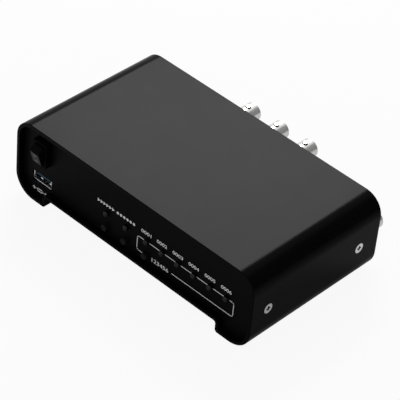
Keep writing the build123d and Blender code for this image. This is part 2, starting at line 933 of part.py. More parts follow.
with BuildPart() as capacitors:
    with Locations((capacitor_x, front_y + inductor_y + capacitor_pitch, board_top)):
        with GridLocations(capacitor_pitch, capacitor_pitch, 1, 2):
            Cylinder(
                capacitor_radius,
                capacitor_height,
                align=(Align.CENTER, Align.CENTER, Align.MIN),
            )
    with Locations((-inductor_x, front_y + inductor_y + 2 * capacitor_pitch, board_top)):
        with GridLocations(capacitor_pitch, capacitor_pitch, 2, 1):
            Cylinder(
                capacitor_radius,
                capacitor_height,
                align=(Align.CENTER, Align.CENTER, Align.MIN),
            )
save(capacitors, "capacitors")

# Board link: a stacking connector between the main board and the input board
with BuildPart() as board_link:
    with Locations((link_x, input_front_y + link_y, board_top)):
        Box(link_length, link_width, input_board_gap, align=(Align.CENTER, Align.CENTER, Align.MIN))
save(board_link, "board_link")


insulator_front = coax_end - insulator_setback
insulator_back = rear_inside - coax_block_depth + coax_back_wall


def make_coax(x, seat):
    """A bayonet coax jack: a block on its board, a threaded neck and a barrel with two lugs."""
    z = seat + coax_axis_height
    neck_end = rear_face + coax_thread_length
    with BuildPart() as jack:
        with BuildSketch(upright(rear_inside)):
            with Locations((x, seat)):
                Rectangle(coax_block_width, coax_axis_height + coax_block_rise, align=(Align.CENTER, Align.MIN))
        extrude(amount=coax_block_depth)
        with BuildSketch(upright(rear_inside)):
            with Locations((x, seat)):
                Rectangle(coax_block_width, coax_foot_height, align=(Align.CENTER, Align.MIN))
        extrude(amount=coax_foot_depth)
        with BuildSketch(upright(rear_inside)):
            with Locations((x, z)):
                Circle(coax_thread_radius)
        extrude(amount=rear_inside - neck_end)
        with BuildSketch(upright(neck_end)):
            with Locations((x, z)):
                Circle(coax_radius)
        extrude(amount=neck_end - coax_end)
        with Locations((x, coax_end - lug_setback, z)):
            Cylinder(lug_radius, lug_span)
        with BuildSketch(upright(coax_end)):
            with Locations((x, z)):
                Circle(coax_bore)
        extrude(amount=coax_bore_depth, mode=Mode.SUBTRACT)
        with BuildSketch(upright(coax_end)):
            with Locations((x, z)):
                Circle(insulator_radius)
        extrude(amount=coax_end - insulator_back, mode=Mode.SUBTRACT)
        chamfer(jack.faces().sort_by(Axis.Y)[-1].edges(), coax_mouth_chamfer)
    return jack


for number, (x, seat) in enumerate(coax_centres, 1):
    save(make_coax(x, seat), f"coax_jack_{number}")

coax_axes = [(x, seat + coax_axis_height) for x, seat in coax_centres]
with BuildPart() as coax_insulators:
    with BuildSketch(upright(insulator_front)):
        with Locations(*coax_axes):
            Circle(insulator_radius)
    extrude(amount=insulator_front - insulator_back)
    with BuildSketch(upright(coax_end - coax_bore_depth)):
        with Locations(*coax_axes):
            Circle(coax_bore)
    extrude(amount=-insulator_flange)
    with BuildSketch(upright(insulator_front)):
        with Locations(*coax_axes):
            Circle(contact_radius)
    extrude(amount=insulator_front - insulator_back, mode=Mode.SUBTRACT)
save(coax_insulators, "coax_insulators")

contact_front = insulator_front - contact_setback
with BuildPart() as coax_contacts:
    with BuildSketch(upright(contact_front)):
        with Locations(*coax_axes):
            Circle(contact_radius)
    extrude(amount=contact_front - insulator_back)
    with BuildSketch(upright(contact_front)):
        with Locations(*coax_axes):
            Circle(contact_bore)
    extrude(amount=contact_bore_depth, mode=Mode.SUBTRACT)
save(coax_contacts, "coax_contacts")

with BuildPart() as coax_nuts:
    with BuildSketch(upright(rear_face)):
        with Locations(*coax_axes):
            RegularPolygon(coax_nut_flats / 2, 6, major_radius=False)
            Circle(coax_thread_radius + running_clearance, mode=Mode.SUBTRACT)
    extrude(amount=-coax_nut_thickness)
save(coax_nuts, "coax_nuts")


d_shell_outline = shell_outline(d_x, d_z, d_shell_width, d_shell_height, d_slope, shell_corner)
d_well = shell_outline(d_x, d_z, d_shell_width, d_shell_height, d_slope, shell_corner - shell_wall, -shell_wall)
d_holes = [
    (d_x + (i - 2) * d_hole_pitch + j * d_hole_pitch / 4, d_z + j * d_row_pitch) for i in range(5) for j in (-1, 0, 1)
]
d_insert_front = rear_face + shell_proud - insert_setback

# Video socket shell: pressed steel through the rear panel, its flange against the panel's inside
with BuildPart() as d_shell:
    with BuildSketch(upright(rear_inside)):
        with Locations((d_x, d_z)):
            Rectangle(d_flange_width, d_flange_height)
    extrude(amount=flange_sheet)
    with BuildSketch(upright(rear_face + shell_proud)):
        add(d_shell_outline)
    extrude(amount=panel_sheet + shell_proud)
    with BuildSketch(upright(rear_face + shell_proud)):
        add(d_well)
    extrude(amount=panel_sheet + shell_proud + flange_sheet, mode=Mode.SUBTRACT)
    with BuildSketch(upright(rear_inside)):
        with Locations(*jack_screw_places):
            Circle(jack_screw_stud + running_clearance)
    extrude(amount=flange_sheet, mode=Mode.SUBTRACT)
save(d_shell, "d_shell")

# Video socket insert: a moulded block on the main board that fills the shell nearly to its mouth
with BuildPart() as d_insert:
    with BuildSketch(upright(rear_inside - flange_sheet)):
        with Locations((d_x, d_z)):
            Rectangle(d_flange_width - insert_margin, d_flange_height)
    extrude(amount=shell_depth)
    with BuildSketch(upright(d_insert_front)):
        add(d_well)
    extrude(amount=d_insert_front - rear_inside + flange_sheet)
    with BuildSketch(upright(d_insert_front)):
        with Locations(*d_holes):
            Circle(d_hole_radius)
    extrude(amount=insert_hole_depth, mode=Mode.SUBTRACT)
    with BuildSketch(upright(rear_inside)):
        with Locations(*jack_screw_places):
            Circle(jack_screw_stud + running_clearance)
    extrude(amount=jack_screw_reach + slip, mode=Mode.SUBTRACT)
save(d_insert, "d_insert")

# Jack screws: hexagonal, outside the rear panel, with a stud into the sockets' flanges
with BuildPart() as jack_screws:
    with BuildSketch(upright(rear_face)):
        with Locations(*jack_screw_places):
            RegularPolygon(jack_screw_flats / 2, 6, major_radius=False)
    extrude(amount=-jack_screw_length)
    with BuildSketch(upright(rear_face)):
        with Locations(*jack_screw_places):
            Circle(jack_screw_stud)
    extrude(amount=panel_sheet + jack_screw_reach)
    with BuildSketch(upright(rear_face + jack_screw_length)):
        with Locations(*jack_screw_places):
            Circle(jack_screw_bore)
    extrude(amount=jack_screw_length - jack_screw_floor, mode=Mode.SUBTRACT)
save(jack_screws, "jack_screws")

# Digital video socket: a folded shell round a thin tongue
hd_outside = shell_outline(hd_x, hd_z, hd_width, hd_height, hd_chamfer, hd_corner)
hd_inside = shell_outline(hd_x, hd_z, hd_width, hd_height, hd_chamfer, hd_inner_corner, -shell_wall)
hd_back = rear_inside - hd_depth + shell_wall
hd_length = hd_depth + panel_sheet + hd_proud
with BuildPart() as hd_socket:
    with BuildSketch(upright(rear_face + hd_proud)):
        add(hd_outside)
    extrude(amount=hd_length)
    with BuildSketch(upright(rear_face + hd_proud)):
        add(hd_inside)
    extrude(amount=hd_length - shell_wall, mode=Mode.SUBTRACT)
save(hd_socket, "hd_socket")

with BuildPart() as hd_tongue:
    with BuildSketch(upright(rear_face - hd_tongue_setback)):
        with Locations((hd_x, hd_z)):
            Rectangle(hd_width - hd_tongue_margin, hd_tongue_thickness)
    extrude(amount=rear_face - hd_tongue_setback - hd_back)
    with BuildSketch(upright(hd_back)):
        add(hd_inside)
    extrude(amount=-hd_tongue_block)
save(hd_tongue, "hd_tongue")

# Network jack: a shielded box with a wide mouth
with BuildPart() as network_jack:
    with BuildSketch(upright(rear_face + network_proud)):
        with Locations((network_x, board_top)):
            Rectangle(network_width, network_height, align=(Align.CENTER, Align.MIN))
    extrude(amount=network_depth)
    with BuildSketch(upright(rear_face + network_proud)):
        with Locations((network_x, network_mouth_z)):
            Rectangle(network_mouth_width, network_mouth_height)
        with Locations((network_x, network_mouth_z + network_mouth_height / 2)):
            Rectangle(network_latch_width, network_latch_height)
    extrude(amount=network_mouth_depth, mode=Mode.SUBTRACT)
save(network_jack, "network_jack")

# Power jack: a plain barrel socket with its pin
with BuildPart() as power_jack:
    with BuildSketch(upright(rear_inside)):
        with Locations((power_x, board_top)):
            Rectangle(power_width, power_height, align=(Align.CENTER, Align.MIN))
    extrude(amount=power_depth)
    with BuildSketch(upright(rear_inside)):
        with Locations((power_x, power_z)):
            Circle(power_bore + power_rim)
    extrude(amount=-(panel_sheet - slip))
    with BuildSketch(upright(rear_face - slip)):
        with Locations((power_x, power_z)):
            Circle(power_bore)
            Circle(power_pin, mode=Mode.SUBTRACT)
    extrude(amount=power_bore_depth, mode=Mode.SUBTRACT)
save(power_jack, "power_jack")

# Audio jack: a small block on the main board with a ferrule through the panel
with BuildPart() as audio_jack:
    with BuildSketch(upright(rear_inside)):
        with Locations((audio_x, board_top)):
            Rectangle(audio_width, audio_height, align=(Align.CENTER, Align.MIN))
    extrude(amount=audio_depth)
    with BuildSketch(upright(rear_inside)):
        with Locations((audio_x, audio_z)):
            Circle(audio_ferrule)
    extrude(amount=-(panel_sheet + audio_proud))
    with BuildSketch(upright(rear_face + audio_proud)):
        with Locations((audio_x, audio_z)):
            Circle(audio_bore)
    extrude(amount=audio_depth, mode=Mode.SUBTRACT)
save(audio_jack, "audio_jack")

print("origin to case front", round(front_y, 3), "rocker reach", round(rocker_reach, 3))
print("rocker swing", round(-2 * rocker_tilt, 2), "pivot", round(pivot_y, 3), switch_z)
print("face angle", round(degrees(asin(face_distance / rocker_radius)), 2))
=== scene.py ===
"""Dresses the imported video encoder: finishes, smoothed cases and sockets, white print, fine
contacts and threads, and the stage with its camera. Lengths are metres, in the part's frame."""

import json
import math

import bmesh
import bpy
from mathutils import Matrix, Vector

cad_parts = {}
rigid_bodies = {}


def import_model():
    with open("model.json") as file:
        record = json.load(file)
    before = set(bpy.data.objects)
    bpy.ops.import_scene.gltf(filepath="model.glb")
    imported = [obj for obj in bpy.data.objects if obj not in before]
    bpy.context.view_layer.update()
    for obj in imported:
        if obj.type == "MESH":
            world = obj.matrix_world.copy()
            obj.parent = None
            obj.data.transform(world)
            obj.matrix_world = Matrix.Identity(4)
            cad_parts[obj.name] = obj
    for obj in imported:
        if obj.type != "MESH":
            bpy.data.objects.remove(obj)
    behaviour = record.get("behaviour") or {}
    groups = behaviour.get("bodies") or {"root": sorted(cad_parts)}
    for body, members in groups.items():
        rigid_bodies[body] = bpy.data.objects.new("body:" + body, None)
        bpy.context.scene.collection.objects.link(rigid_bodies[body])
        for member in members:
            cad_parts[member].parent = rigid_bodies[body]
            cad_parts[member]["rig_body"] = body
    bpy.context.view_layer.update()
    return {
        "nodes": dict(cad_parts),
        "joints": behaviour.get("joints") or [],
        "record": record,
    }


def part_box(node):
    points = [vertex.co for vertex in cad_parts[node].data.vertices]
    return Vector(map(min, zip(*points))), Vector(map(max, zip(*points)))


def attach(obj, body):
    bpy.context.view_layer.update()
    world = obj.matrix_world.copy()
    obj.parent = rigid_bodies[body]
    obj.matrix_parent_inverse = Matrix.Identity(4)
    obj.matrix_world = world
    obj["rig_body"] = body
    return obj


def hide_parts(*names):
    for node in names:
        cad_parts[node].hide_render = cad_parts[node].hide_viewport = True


bl_info = {
    "name": "Video encoder dress",
    "version": (1, 0, 0),
    "blender": (4, 5, 0),
    "location": "View3D > Sidebar > Encoder",
    "description": "Dresses the packed video encoder and sets its stage",
    "category": "Object",
}

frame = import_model()

mm = 0.001
slot_of = {row["node"]: row["material_slot"] for row in frame["record"]["subparts"]}
body_of = {node: part["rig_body"] for node, part in frame["nodes"].items()}
leds = [f"led_{number}" for number in range(1, 9)]
buttons = [f"button_{number}" for number in range(1, 4)]
jacks = [f"coax_jack_{number}" for number in range(1, 5)]

# Nodes whose round faces show, which get a merged and smoothed copy
rounded_nodes = {
    "case": ["sleeve", "front_panel", "rear_panel"],
    "switch": ["switch_frame", "rocker"],
    "signals": leds + buttons,
    "ports": ["port_shell", "port_tongue", "hd_socket", "d_shell", "d_insert", "power_jack", "audio_jack"],
    "coax": jacks + ["coax_insulators", "coax_contacts", "coax_nuts"],
    "fixings": ["jack_screws"],
}


def middle(node):
    """The centre of a node's box."""
    low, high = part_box(node)
    return (low + high) / 2


def axis_height(jack):
    """Height of a coax jack's axis, halfway between its two lugs at the far end."""
    lug_reach = 7.0 * mm
    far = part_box(jack)[1].y - lug_reach
    heights = [vertex.co.z for vertex in frame["nodes"][jack].data.vertices if vertex.co.y > far]
    return (min(heights) + max(heights)) / 2


# Faces that carry print, and the heads of the side screws
panel_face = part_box("front_panel")[0].y
rear_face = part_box("rear_panel")[1].y
screw_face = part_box("side_screws")[1].x
screw_middle = middle("side_screws")
screw_half_pitch = 32 * mm

# The rocker's flat face, from its pivot: which way it looks, and how far out it is
rocker_joint = next(joint for joint in frame["joints"] if joint["name"] == "rocker_tilt")
rocker_pivot = Vector(rocker_joint["pos_m"])
rocker_lean = math.radians(-rocker_joint["range_deg"][0] / 2)
rocker_out = Vector((0, -math.cos(rocker_lean), -math.sin(rocker_lean)))
rocker_up = Vector((0, -math.sin(rocker_lean), math.cos(rocker_lean)))
rocker_points = [vertex.co - rocker_pivot for vertex in frame["nodes"]["rocker"].data.vertices]
rocker_face = max(point.dot(rocker_out) for point in rocker_points)

# Tolerances for merging corners: on a copied node, and in a piece made here
copy_merge = 0.002 * mm
fine_merge = 0.001 * mm


class Wire:
    """One socket's value. Used in a sum, it adds Math nodes to its tree."""

    def __init__(self, paint, socket):
        self.paint = paint
        self.socket = socket

    def __add__(self, other):
        return self.paint.maths("ADD", self, other)

    def __radd__(self, other):
        return self.paint.maths("ADD", other, self)

    def __sub__(self, other):
        return self.paint.maths("SUBTRACT", self, other)

    def __rsub__(self, other):
        return self.paint.maths("SUBTRACT", other, self)

    def __mul__(self, other):
        return self.paint.maths("MULTIPLY", self, other)

    def __rmul__(self, other):
        return self.paint.maths("MULTIPLY", other, self)

    def __gt__(self, other):
        return self.paint.maths("GREATER_THAN", self, other)

    def __lt__(self, other):
        return self.paint.maths("LESS_THAN", self, other)


class Paint:
    """A node tree being filled: a material's or the world's."""

    def __init__(self, tree):
        self.tree = tree
        self.tree.nodes.clear()

    def node(self, kind, settings=None, sockets=None, output=0):
        """Adds a node. Its settings go first, then its sockets' values or links."""
        made = self.tree.nodes.new(kind)
        for key, value in (settings or {}).items():
            setattr(made, key, value)
        for key, value in (sockets or {}).items():
            if isinstance(value, Wire):
                self.tree.links.new(value.socket, made.inputs[key])
            else:
                made.inputs[key].default_value = value
        return Wire(self, made.outputs[output]) if made.outputs else None

    def maths(self, operation, *values):
        """One Math node on numbers or wires."""
        return self.node("ShaderNodeMath", {"operation": operation}, dict(enumerate(values)))

    def size_of(self, value):
        """A value without its sign."""
        return self.maths("ABSOLUTE", value)

    def coordinates(self, stretch=(1, 1, 1)):
        """The place on the piece, stretched per axis."""
        place = self.node("ShaderNodeTexCoord", output="Object")
        return self.node("ShaderNodeVectorMath", {"operation": "MULTIPLY"}, {0: place, 1: stretch})

    def along(self, direction):
        """The distance of the place along a direction."""
        sockets = {0: self.coordinates(), 1: direction}
        return self.node("ShaderNodeVectorMath", {"operation": "DOT_PRODUCT"}, sockets, "Value")

    def noise(self, size, detail, stretch=(1, 1, 1)):
        """Soft noise, from 0 to 1, with lumps about size across."""
        sockets = {"Vector": self.coordinates(stretch), "Scale": 1 / size, "Detail": detail}
        return self.node("ShaderNodeTexNoise", sockets=sockets)

    def cells(self, size, feature="F1"):
        """Distance in a pattern of cells about size across."""
        sockets = {"Vector": self.coordinates(), "Scale": 1 / size}
        return self.node("ShaderNodeTexVoronoi", {"feature": feature}, sockets)

    def blend(self, share, first, second):
        """A colour between two, by a share from 0 to 1. Either may be a wire."""
        first, second = (tone if isinstance(tone, Wire) else (*tone, 1) for tone in (first, second))
        return self.node("ShaderNodeMix", {"data_type": "RGBA"}, {0: share, 6: first, 7: second}, 2)

    def bump(self, height, depth):
        """A normal from a height of 0 to 1, of that depth."""
        return self.node("ShaderNodeBump", sockets={"Height": height, "Distance": depth, "Strength": 1.0})

    def ray(self, kind):
        """1 where that kind of ray looks, and 0 elsewhere."""
        return self.node("ShaderNodeLightPath", output=f"Is {kind} Ray")

    def skin(self, colour, rough, normal, **others):
        """Ends the tree in a Principled shader. The others are its sockets, with _ for a space."""
        sockets = {"Base Color": colour, "Roughness": rough, "Normal": normal}
        sockets.update({key.replace("_", " "): value for key, value in others.items()})
        surface = self.node("ShaderNodeBsdfPrincipled", sockets=sockets)
        self.node("ShaderNodeOutputMaterial", sockets={"Surface": surface})


def shade(tone, factor):
    """A colour made darker or lighter."""
    return tuple(channel * factor for channel in tone)


# Finishes, one function for each kind


def coat_case(paint, tone, gloss):
    """Satin black coat with a fine even grain and faint lines from the extrusion's die."""
    grain = paint.noise(0.16 * mm, 3.0)
    die_lines = paint.noise(0.5 * mm, 2.0, (1, 0.004, 1))
    clouds = paint.noise(14 * mm, 3.0)
    colour = paint.blend(grain * 0.6 + clouds * 0.4, shade(tone, 0.8), shade(tone, 1.2))
    rough = 0.18 + clouds * 0.04 + grain * 0.03
    height = grain * 0.8 + die_lines * 0.2
    paint.skin(colour, rough, paint.bump(height, 0.006 * mm), Specular_IOR_Level=gloss)


def coat_panel(paint, tone, gloss):
    """Smooth satin paint on sheet, with a little orange peel."""
    peel = paint.noise(0.7 * mm, 1.0)
    specks = paint.noise(0.1 * mm, 2.0)
    colour = paint.blend(specks, shade(tone, 0.8), shade(tone, 1.2))
    height = peel * 0.7 + specks * 0.3
    paint.skin(colour, 0.42 + peel * 0.08, paint.bump(height, 0.006 * mm), Specular_IOR_Level=gloss)


def coat_print(paint, tone, gloss):
    """Screened ink: even, a little thinner in specks."""
    specks = paint.noise(0.12 * mm, 3.0)
    colour = paint.blend(specks, shade(tone, 0.9), tone)
    paint.skin(colour, 0.5 + specks * 0.15, paint.bump(specks, 0.004 * mm), Specular_IOR_Level=gloss)


def plate_zinc(paint, tone):
    """Zinc plate with soft crystals and fine rolling lines."""
    crystals = paint.cells(2.2 * mm)
    lines = paint.noise(0.2 * mm, 2.0, (0.02, 1, 1))
    colour = paint.blend(crystals, shade(tone, 0.82), tone)
    rough = 0.28 + crystals * 0.12 + lines * 0.06
    paint.skin(colour, rough, paint.bump(lines, 0.004 * mm), Metallic=1.0)


def plate_bright(paint, tone):
    """Bright plate on turned metal, with faint rings round the axis of depth."""
    rings = paint.noise(0.09 * mm, 2.0, (0.02, 1, 0.02))
    haze = paint.noise(1.3 * mm, 2.0)
    colour = paint.blend(haze, shade(tone, 0.9), tone)
    paint.skin(colour, 0.14 + rings * 0.1 + haze * 0.06, paint.bump(rings, 0.003 * mm), Metallic=1.0)


def plate_screw(paint, tone):
    """Bright screw plate with fine marks from the tumbling drum."""
    marks = paint.noise(0.25 * mm, 3.0)
    haze = paint.noise(1.0 * mm, 2.0)
    colour = paint.blend(haze, shade(tone, 0.85), tone)
    paint.skin(colour, 0.2 + marks * 0.14, paint.bump(marks, 0.006 * mm), Metallic=1.0)


def plate_side_screw(paint, tone):
    """Bright screw plate, with painted shade in the cross recess: near-black and not metal below the head's
    face and round its middle.
    """
    core_radius = 0.85 * mm
    bright_skin = 0.12 * mm
    # Painted shade: the near-black colour of the cross recess
    painted_recess_shade = (0.01, 0.01, 0.01)
    marks = paint.noise(0.25 * mm, 3.0)
    along = paint.size_of(paint.along((0, 1, 0)) - screw_middle.y) - screw_half_pitch
    above = paint.along((0, 0, 1)) - screw_middle.z
    # The painted shade covers a disc at the head's middle and all that lies below the head's face
    core = (along * along + above * above) < core_radius ** 2
    deep = paint.size_of(paint.along((1, 0, 0))) < screw_face - bright_skin
    recess = paint.maths("MAXIMUM", core, deep)
    colour = paint.blend(recess, paint.blend(marks, shade(tone, 0.85), tone), painted_recess_shade)
    rough = 0.2 + marks * 0.14 + recess * 0.3
    paint.skin(colour, rough, paint.bump(marks, 0.006 * mm), Metallic=1.0 - recess)


def plate_contact(paint, tone):
    """Plated contact metal, a little tarnished."""
    stain = paint.noise(0.8 * mm, 3.0)
    colour = paint.blend(stain, shade(tone, 0.75), tone)
    paint.skin(colour, 0.2 + stain * 0.15, paint.bump(stain, 0.002 * mm), Metallic=1.0)


def sheet_steel(paint, tone):
    """Plated sheet with brushed lines along the depth."""
    lines = paint.noise(0.12 * mm, 3.0, (1, 0.03, 1))
    haze = paint.noise(2.0 * mm, 2.0)
    colour = paint.blend(lines, shade(tone, 0.85), tone)
    rough = 0.2 + haze * 0.12 + lines * 0.05
    paint.skin(colour, rough, paint.bump(lines, 0.004 * mm), Metallic=1.0)


def sheet_lined(paint, tone):
    """The network socket's plated sheet, with black plastic in its mouth."""
    half_mouth = 5.95 * mm
    sheet_edge = 0.35 * mm
    plastic = (0.02, 0.02, 0.02)
    lines = paint.noise(0.12 * mm, 3.0, (1, 0.03, 1))
    across = paint.size_of(paint.along((1, 0, 0)) - middle("network_jack").x) < half_mouth
    inward = paint.along((0, 1, 0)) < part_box("network_jack")[1].y - sheet_edge
    lining = across * inward
    colour = paint.blend(lining, paint.blend(lines, shade(tone, 0.85), tone), plastic)
    rough = 0.24 + lines * 0.08 + lining * 0.2
    paint.skin(colour, rough, paint.bump(lines, 0.004 * mm), Metallic=1.0 - lining)


def anodise(paint, tone):
    """Black anodised fins with extrusion lines."""
    lines = paint.noise(0.3 * mm, 2.0, (1, 0.01, 1))
    grain = paint.noise(0.1 * mm, 2.0)
    colour = paint.blend(lines, shade(tone, 0.75), shade(tone, 1.2))
    height = lines * 0.6 + grain * 0.4
    paint.skin(colour, 0.38 + grain * 0.1, paint.bump(height, 0.01 * mm), Metallic=0.6)


def mould_grained(paint, tone, gloss):
    """Moulded plastic with a fine spark texture."""
    grain = paint.noise(0.14 * mm, 3.0)
    flow = paint.noise(3.0 * mm, 2.0)
    colour = paint.blend(grain * 0.7 + flow * 0.3, shade(tone, 0.75), shade(tone, 1.2))
    paint.skin(colour, 0.46 + grain * 0.12, paint.bump(grain, 0.012 * mm), Specular_IOR_Level=gloss)


def mould_gloss(paint, tone, gloss):
    """Moulded plastic from a polished tool, with slight sink and flow."""
    flow = paint.noise(2.4 * mm, 2.0)
    dust = paint.noise(0.2 * mm, 3.0)
    colour = paint.blend(flow, shade(tone, 0.85), shade(tone, 1.15))
    rough = 0.24 + flow * 0.1 + dust * 0.05
    paint.skin(colour, rough, paint.bump(flow, 0.02 * mm), Specular_IOR_Level=gloss)


def mould_rocker(paint, tone, gloss):
    """Black rocker plastic, its flat face moulded smoother than its drum. The face is lighter as a painted
    reflection of the pale floor, and the drum is nearly black as painted shade.
    """
    face_skin = 0.06 * mm
    grain = paint.noise(0.16 * mm, 2.0)
    flow = paint.noise(2.0 * mm, 2.0)
    flat = paint.along(rocker_out) > rocker_out.dot(rocker_pivot) + rocker_face - face_skin
    # Painted shade: the drum is a few hundredths of the tone, nearly black
    drum_painted_shade = paint.blend(grain, shade(tone, 0.02), shade(tone, 0.04))
    # Painted reflection: the flat face is lighter, as if it caught the pale floor
    face = paint.blend(flow * 0.5 + grain * 0.5, shade(tone, 0.6), shade(tone, 1.1))
    rough = 0.65 - flat * 0.25 + grain * 0.1
    bump = paint.bump(grain, 0.008 * mm)
    paint.skin(paint.blend(flat, drum_painted_shade, face), rough, bump, Specular_IOR_Level=gloss)


def mould_epoxy(paint, tone, gloss):
    """Matt chip epoxy, full of fine filler."""
    filler = paint.cells(0.09 * mm)
    patches = paint.noise(1.6 * mm, 2.0)
    colour = paint.blend(filler, shade(tone, 1.3), shade(tone, 0.7))
    paint.skin(colour, 0.55 + patches * 0.12, paint.bump(filler, 0.01 * mm), Specular_IOR_Level=gloss)


def press_ferrite(paint, tone, gloss):
    """Pressed ferrite powder: grey grains of several tones."""
    grains = paint.cells(0.22 * mm)
    patches = paint.noise(2.0 * mm, 3.0)
    colour = paint.blend(grains * 0.6 + patches * 0.4, shade(tone, 1.4), shade(tone, 0.6))
    paint.skin(colour, 0.6 + patches * 0.15, paint.bump(grains, 0.02 * mm), Specular_IOR_Level=gloss)


def draw_can(paint, tone):
    """Deep-drawn aluminium can, with lines up its wall."""
    lines = paint.noise(0.15 * mm, 2.0, (1, 1, 0.02))
    haze = paint.noise(1.5 * mm, 2.0)
    colour = paint.blend(haze, shade(tone, 0.88), tone)
    paint.skin(colour, 0.26 + lines * 0.14, paint.bump(lines, 0.003 * mm), Metallic=1.0)


def mask_board(paint, tone, gloss):
    """Solder mask over copper tracks, with bare tinned pads."""
    tin = (0.55, 0.55, 0.5)
    tracks = paint.cells(1.9 * mm, "DISTANCE_TO_EDGE") < 0.07
    pads = paint.cells(2.6 * mm) < 0.13
    weave = paint.noise(0.3 * mm, 2.0)
    mask = paint.blend(tracks, shade(tone, 0.8), shade(tone, 1.7))
    colour = paint.blend(pads, mask, tin)
    rough = 0.3 + weave * 0.12
    height = tracks * 0.5 + pads * 0.3 + weave * 0.2
    bump = paint.bump(height, 0.03 * mm)
    paint.skin(colour, rough, bump, Metallic=pads * 0.9, Specular_IOR_Level=gloss)


def cast_resin(paint, tone, gloss):
    """Smoked resin, dark while unlit."""
    flow = paint.noise(0.9 * mm, 2.0)
    dust = paint.noise(0.15 * mm, 2.0)
    colour = paint.blend(flow, shade(tone, 0.8), shade(tone, 1.25))
    paint.skin(colour, 0.14 + dust * 0.08, paint.bump(flow, 0.006 * mm), Specular_IOR_Level=gloss)


def mould_milky(paint, tone):
    """White insulator plastic, waxy, with light under its skin."""
    flow = paint.noise(1.2 * mm, 2.0)
    grain = paint.noise(0.12 * mm, 2.0)
    colour = paint.blend(flow, shade(tone, 0.93), tone)
    bump = paint.bump(grain, 0.004 * mm)
    paint.skin(colour, 0.38 + grain * 0.1, bump, Subsurface_Weight=0.1, Subsurface_Scale=0.5 * mm)


# Each slot's finish and colour, and for paint and most plastics a specular level, where 0.5 is plain gloss
finishes = {
    "case_black": (coat_case, (0.0012, 0.0012, 0.0013), 0.0285),
    "panel_black": (coat_panel, (0.0025, 0.0025, 0.0027), 0.03),
    "print_white": (coat_print, (0.86, 0.86, 0.85), 0.4),
    "zinc_steel": (plate_zinc, (0.62, 0.63, 0.64)),
    "nickel_screw": (plate_screw, (0.78, 0.78, 0.77)),
    "switch_black": (mould_grained, (0.001, 0.001, 0.0011), 0.02),
    # The rocker's tone is its face's, lightened as a painted reflection of the floor
    "rocker_black": (mould_rocker, (0.05, 0.05, 0.051), 0.03),
    "brass_contact": (plate_contact, (0.78, 0.62, 0.32)),
    "gold_contact": (plate_contact, (0.85, 0.66, 0.30)),
    "board_green": (mask_board, (0.03, 0.17, 0.07), 0.5),
    "connector_black": (mould_grained, (0.012, 0.012, 0.013), 0.3),
    "chip_black": (mould_epoxy, (0.03, 0.03, 0.032), 0.3),
    "sink_black": (anodise, (0.04, 0.04, 0.042)),
    "inductor_grey": (press_ferrite, (0.12, 0.12, 0.12), 0.3),
    "can_aluminium": (draw_can, (0.75, 0.75, 0.76)),
    "port_steel": (sheet_steel, (0.66, 0.67, 0.68)),
    "port_blue": (mould_gloss, (0.005, 0.04, 0.085), 0.25),
    "insert_blue": (mould_gloss, (0.03, 0.09, 0.35), 0.5),
    "insulator_white": (mould_milky, (0.82, 0.82, 0.80)),
    "coax_nickel": (plate_bright, (0.71, 0.705, 0.695)),
    "button_black": (mould_gloss, (0.007, 0.007, 0.0075), 0.06),
    "led_smoke": (cast_resin, (0.002, 0.002, 0.0022), 0.24),
    "sign_grey": (coat_print, (0.2, 0.2, 0.2), 0.3),
    "network_steel": (sheet_lined, (0.66, 0.67, 0.68)),
    "side_screw_plate": (plate_side_screw, (0.78, 0.78, 0.77)),
    # Painted shadow round the coax lugs' bases
    "lug_painted_shadow": (mould_grained, (0.01, 0.01, 0.01), 0.2),
}


def new_material(name):
    """An empty material, and the paint that fills it."""
    made = bpy.data.materials.new(name)
    made.use_nodes = True
    return made, Paint(made.node_tree)


def finish(slot):
    """The material of a slot, made the first time it is asked for."""
    ready = bpy.data.materials.get("finish_" + slot)
    if ready:
        return ready
    made, paint = new_material("finish_" + slot)
    coat, *look = finishes[slot]
    coat(paint, *look)
    return made


# Making pieces


def new_piece(maker, name, material):
    """Turns a bmesh into an object with one material."""
    mesh = bpy.data.meshes.new(name)
    maker.to_mesh(mesh)
    maker.free()
    mesh.materials.append(material)
    piece = bpy.data.objects.new(name, mesh)
    bpy.context.scene.collection.objects.link(piece)
    return piece


def settle(maker, name, body, coat):
    """Turns a bmesh into a piece with its finish, which rides on a body."""
    piece = new_piece(maker, name, finish(coat))
    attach(piece, body)
    return piece


def round_off(maker, turn):
    """Shades a bmesh smooth, with hard edges where its faces turn by more than that."""
    for face in maker.faces:
        face.smooth = True
    for edge in maker.edges:
        edge.smooth = edge.calc_face_angle(0.0) < turn


def smooth_copy(node, turn, coat=None):
    """A merged copy of a node with smooth round faces, which stands for it."""
    maker = bmesh.new()
    maker.from_mesh(frame["nodes"][node].data)
    bmesh.ops.remove_doubles(maker, verts=maker.verts, dist=copy_merge)
    round_off(maker, turn)
    piece = settle(maker, node + "_dressed", body_of[node], coat or slot_of[node])
    old_normals = piece.data.attributes.get("custom_normal")
    if old_normals:
        piece.data.attributes.remove(old_normals)
    flat = piece.modifiers.new("flat_faces", "WEIGHTED_NORMAL")
    flat.keep_sharp = True
    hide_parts(node)


def smooth_copies(group, turn):
    """Smooth copies of a group of nodes."""
    for node in rounded_nodes[group]:
        smooth_copy(node, turn)


def add_turned(maker, centre, axis, section, steps):
    """Spins a section of (radius, along) points round an axis. The section is a loop, or it starts and
    ends on the axis."""
    along = Vector(axis).normalized()
    out = along.orthogonal().normalized()
    corners = [maker.verts.new(Vector(centre) + out * point[0] + along * point[1]) for point in section]
    ends = corners[1:] if section[0][0] == 0 else corners[1:] + corners[:1]
    sides = [maker.edges.new(pair) for pair in zip(corners, ends)]
    bmesh.ops.spin(
        maker,
        geom=corners + sides,
        cent=centre,
        axis=along,
        angle=2 * math.pi,
        steps=steps,
        use_merge=True,
    )


def add_profile(maker, centre, profile, steps):
    """Spins a profile of (radius, outward) points in millimetres round a rear socket's axis."""
    add_turned(maker, centre, (0, 1, 0), [(radius * mm, out * mm) for radius, out in profile], steps)


